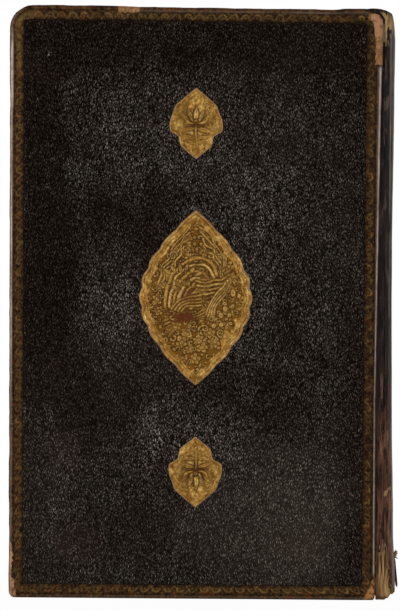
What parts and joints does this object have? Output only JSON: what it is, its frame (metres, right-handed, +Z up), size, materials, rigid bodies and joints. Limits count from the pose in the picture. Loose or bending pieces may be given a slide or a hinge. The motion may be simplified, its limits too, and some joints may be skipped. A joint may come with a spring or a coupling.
{
  "type": "antique leather book",
  "caption": "Old hand-bound book with grained leather covers on hinged joints, stamped gilt almond onlays, a tooled border and a worn, torn spine.",
  "frame": {"origin": "centre of the book's footprint on the surface that it stands on", "axes": "+Z up from tail to head, -Y out of the front cover, +X towards the spine"},
  "size_m": [0.1614, 0.029, 0.245],
  "materials": {
    "leaves": "matte",
    "thread": "matte",
    "lining_cloth": "matte",
    "lining_paper": "matte",
    "spine_leather": "satin",
    "endband_core": "matte",
    "endband_silk": "satin",
    "pasteboard": "matte",
    "case_leather": "satin",
    "panel_leather": "satin",
    "gilt_leather": "satin",
    "pastedown": "matte"
  },
  "bodies": {
    "block": {"leaves": "leaves", "sewing_threads": "thread", "spine_cloth": "lining_cloth", "spine_paper": "lining_paper", "spine_leather": "spine_leather", "head_endband_core": "endband_core", "head_endband_silk": "endband_silk", "tail_endband_core": "endband_core", "tail_endband_silk": "endband_silk", "front_hinge_paper": "lining_paper", "back_hinge_paper": "lining_paper"},
    "front_cover": {"front_board": "pasteboard", "front_case_leather": "case_leather", "front_panel": "panel_leather", "front_almond": "gilt_leather", "front_upper_pendant": "gilt_leather", "front_lower_pendant": "gilt_leather", "front_pastedown": "pastedown"},
    "back_cover": {"back_board": "pasteboard", "back_case_leather": "case_leather", "back_panel": "panel_leather", "back_pastedown": "pastedown"}
  },
  "joints": [
    {"name": "front_cover_hinge", "type": "hinge", "parent": "block", "child": "front_cover", "pos_m": [0.0746, -0.014, 0], "axis": [0, 0, 1], "range_deg": [0, 180]},
    {"name": "back_cover_hinge", "type": "hinge", "parent": "block", "child": "back_cover", "pos_m": [0.0746, 0.014, 0], "axis": [0, 0, -1], "range_deg": [0, 180]}
  ]
}
